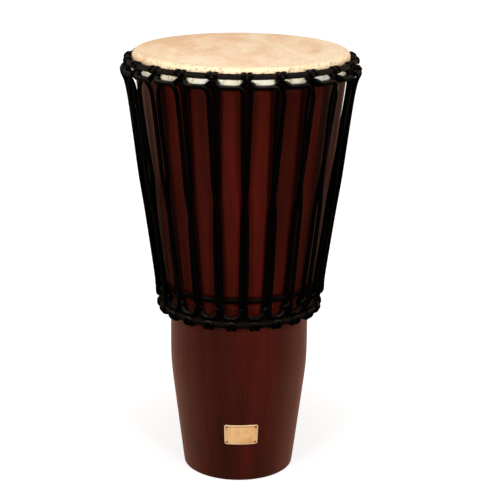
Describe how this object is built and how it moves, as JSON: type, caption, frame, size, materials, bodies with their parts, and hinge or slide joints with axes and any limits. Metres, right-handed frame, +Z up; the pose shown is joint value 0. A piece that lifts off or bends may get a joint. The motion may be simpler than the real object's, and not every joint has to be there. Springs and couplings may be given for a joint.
{
  "type": "ashiko drum",
  "caption": "Tall tapered hand drum: dark lacquered wooden shell, flat cream skin head and black rope lacing between a crown ring and a bottom ring.",
  "frame": {"origin": "centre of the foot rim, on the floor", "axes": "+Z up the drum's axis, -Y towards the name plate"},
  "size_m": [0.3363, 0.336, 0.6115],
  "materials": {
    "shell_wood": "dark red-brown stain under gloss lacquer",
    "drum_skin": "scraped natural hide, matt",
    "ring_steel": "plain drawn rod",
    "ring_cloth": "dark cloth strip wound over the ring",
    "black_rope": "braided low-stretch cord with a soft sheen",
    "plate_copper": "brushed copper-coloured sheet"
  },
  "bodies": {
    "drum_body": {"shell": "shell_wood", "head_skin": "drum_skin", "lacing_rope": "black_rope", "tie_rope": "black_rope", "tie_rope_knot": "black_rope", "bottom_ring": "ring_steel", "bottom_ring_wrap": "ring_cloth", "bottom_hitch_rope": "black_rope", "bottom_hitch_knot": "black_rope", "name_plate": "plate_copper", "plate_pin_1": "plate_copper", "plate_pin_2": "plate_copper", "plate_pin_3": "plate_copper", "plate_pin_4": "plate_copper"},
    "crown": {"crown_ring": "ring_steel", "crown_ring_wrap": "ring_cloth", "flesh_ring": "ring_steel", "crown_hitch_rope": "black_rope", "crown_hitch_knot": "black_rope", "lacing_knot": "black_rope"}
  },
  "joints": [
    {"name": "crown_tuning", "type": "slide", "parent": "drum_body", "child": "crown", "axis": [0, 0, 1], "range_m": [-0.006, 0.004], "deforming": ["head_skin", "lacing_rope"]}
  ]
}
